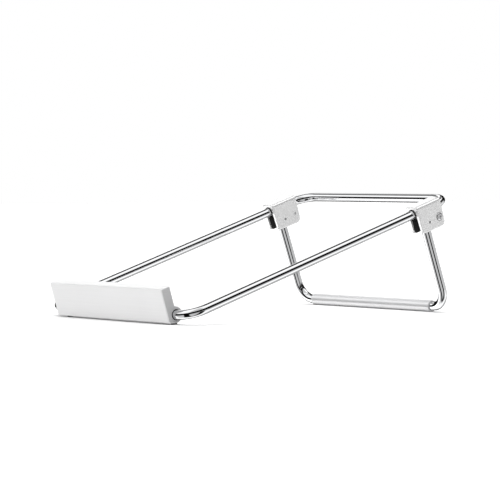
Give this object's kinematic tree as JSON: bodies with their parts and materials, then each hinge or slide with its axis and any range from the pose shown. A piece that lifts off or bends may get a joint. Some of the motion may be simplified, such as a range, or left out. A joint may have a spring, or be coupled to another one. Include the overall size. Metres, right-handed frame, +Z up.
{
  "type": "laptop stand",
  "caption": "Folding laptop stand: a chromed tube loop with a low front lip, held at a slope by a U-shaped leg that swings between two satin brackets.",
  "frame": {"origin": "on the desk surface, at the middle of the opened stand's footprint", "axes": "+X to the user's right, +Y from the front lip towards the raised back, +Z up"},
  "size_m": [0.2106, 0.314, 0.1056],
  "materials": {
    "chromed_tube": "polished chrome plating",
    "plain_steel": "plain turned steel",
    "zinc_steel": "bright zinc plating",
    "lip_aluminium": "fine satin, silver",
    "shell_alloy": "die-cast with a smooth silver-white satin coat",
    "black_plastic": "moulded black",
    "foot_rubber": "soft black"
  },
  "bodies": {
    "top_frame": {"top_frame_tube": "chromed_tube", "frame_splice_pin": "plain_steel", "front_lip": "lip_aluminium", "lip_set_screws": "zinc_steel", "lip_end_bush_left": "black_plastic", "lip_end_bush_right": "black_plastic", "bracket_liner_left": "black_plastic", "bracket_liner_right": "black_plastic", "lip_foot_left": "foot_rubber", "lip_foot_right": "foot_rubber", "bracket_shell_left": "shell_alloy", "bracket_shell_right": "shell_alloy", "leg_pivot_pin_left": "plain_steel", "leg_pivot_pin_right": "plain_steel", "clamp_screw_left": "zinc_steel", "clamp_screw_right": "zinc_steel", "clamp_nut_left": "zinc_steel", "clamp_nut_right": "zinc_steel", "clamp_spacer_left": "plain_steel", "clamp_spacer_right": "plain_steel"},
    "leg": {"leg_tube": "chromed_tube", "foot_sleeve": "lip_aluminium", "leg_end_plug_left": "black_plastic", "leg_end_plug_right": "black_plastic"}
  },
  "joints": [
    {"name": "leg_fold", "type": "hinge", "parent": "top_frame", "child": "leg", "pos_m": [0, 0.12296, 0.08113], "axis": [-1, 0, 0], "range_deg": [0, 92]}
  ]
}
